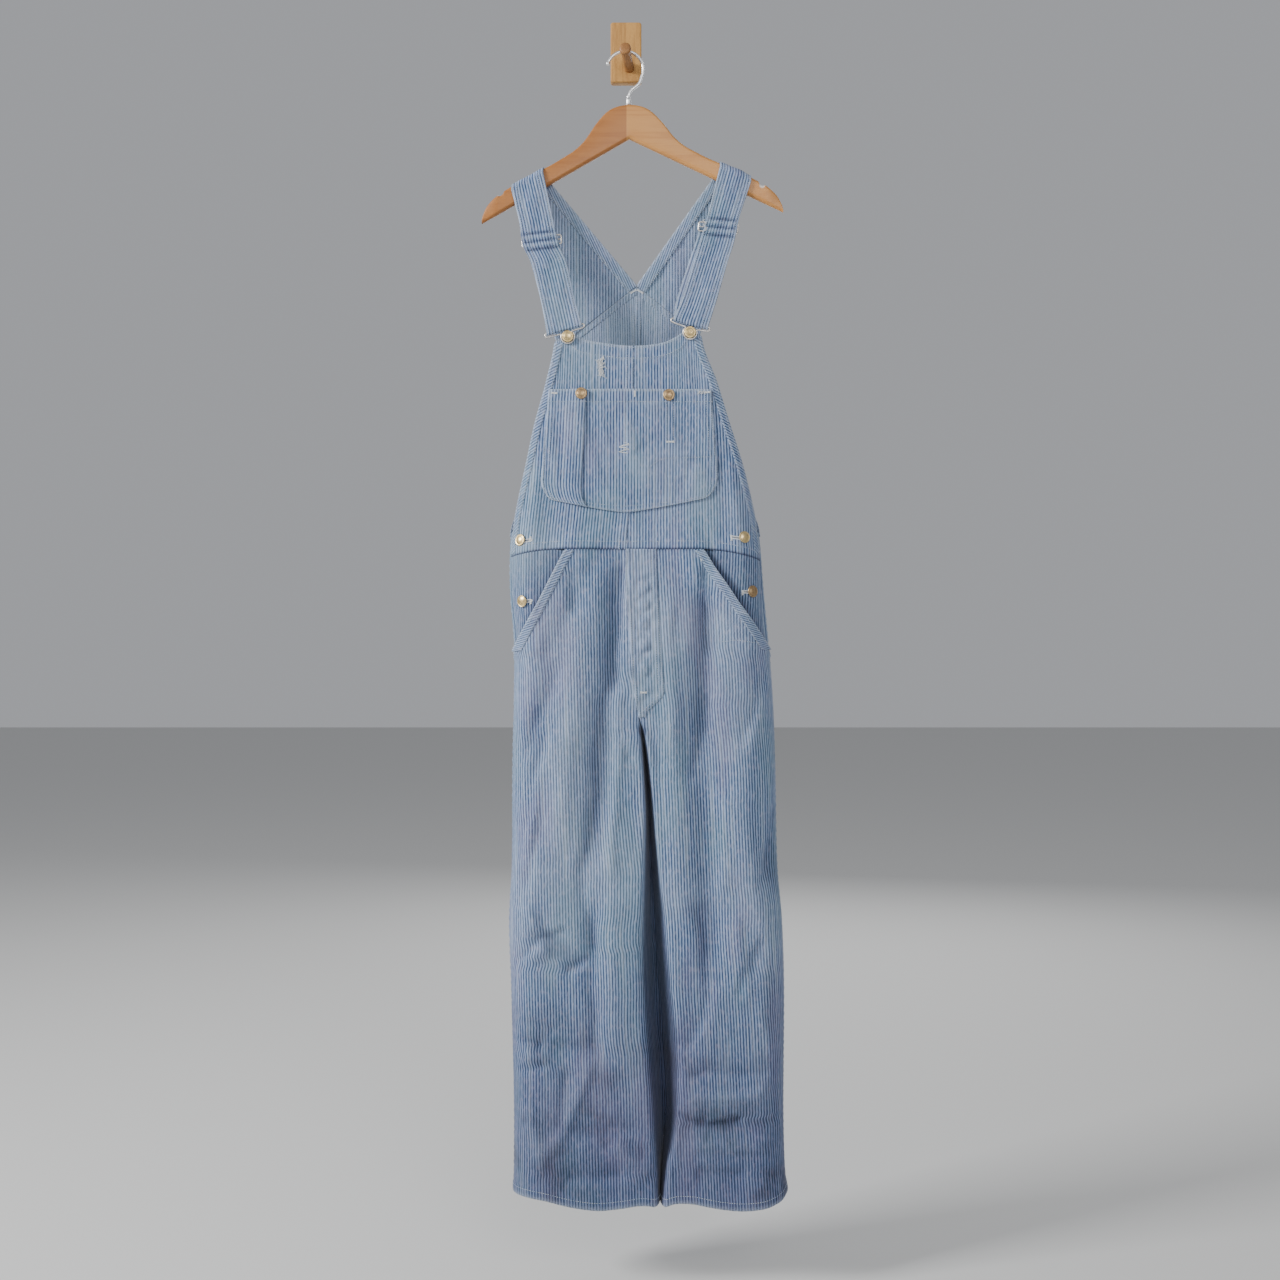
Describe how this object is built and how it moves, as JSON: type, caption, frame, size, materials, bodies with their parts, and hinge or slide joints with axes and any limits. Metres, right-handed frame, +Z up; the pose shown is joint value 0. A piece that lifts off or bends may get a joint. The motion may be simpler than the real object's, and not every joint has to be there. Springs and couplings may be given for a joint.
{
  "type": "dungarees on a hanger and wall peg",
  "caption": "Hickory-striped bib dungarees hanging by their straps on a wooden hanger, its wire hook on a peg in a wall block.",
  "frame": {"origin": "middle of the wall block's back face, which lies on the wall", "axes": "+Z up, the front of the garment looks along -Y, +X to the right as seen from the front"},
  "size_m": [0.4478, 0.1009, 1.7403],
  "materials": {
    "striped_cloth": "washed cotton drill in fine vertical indigo and off-white stripes, soft and dull",
    "striped_cloth_inside": "the same striped drill, less worn",
    "buckle_wire": "nickel-plated wire, dulled",
    "button_brass": "pressed brass, worn and a little tarnished",
    "hanger_wood": "clear-lacquered light wood",
    "hook_wire": "bright plated wire",
    "block_wood": "oiled light wood with an upright grain",
    "peg_wood": "darker turned wood, satin"
  },
  "bodies": {
    "root": {"bib_left": "striped_cloth", "bib_right": "striped_cloth", "front_leg_left": "striped_cloth", "front_leg_right": "striped_cloth", "back_left": "striped_cloth", "back_right": "striped_cloth", "pocket_facing_left": "striped_cloth", "pocket_facing_right": "striped_cloth", "fly_front": "striped_cloth", "bib_pocket": "striped_cloth", "bib_pocket_left": "striped_cloth", "strap_left": "striped_cloth", "strap_right": "striped_cloth", "side_placket_left": "striped_cloth_inside", "side_placket_right": "striped_cloth_inside", "slide_left": "buckle_wire", "slide_right": "buckle_wire", "buckle_left": "buckle_wire", "buckle_right": "buckle_wire", "bib_button_left": "button_brass", "bib_button_right": "button_brass", "pocket_button_left": "button_brass", "pocket_button_right": "button_brass", "side_button_left_top": "button_brass", "side_button_left_low": "button_brass", "side_button_right_top": "button_brass", "side_button_right_low": "button_brass", "hanger": "hanger_wood", "hanger_hook": "hook_wire", "wall_block": "block_wood", "wall_peg": "peg_wood"}
  },
  "joints": []
}
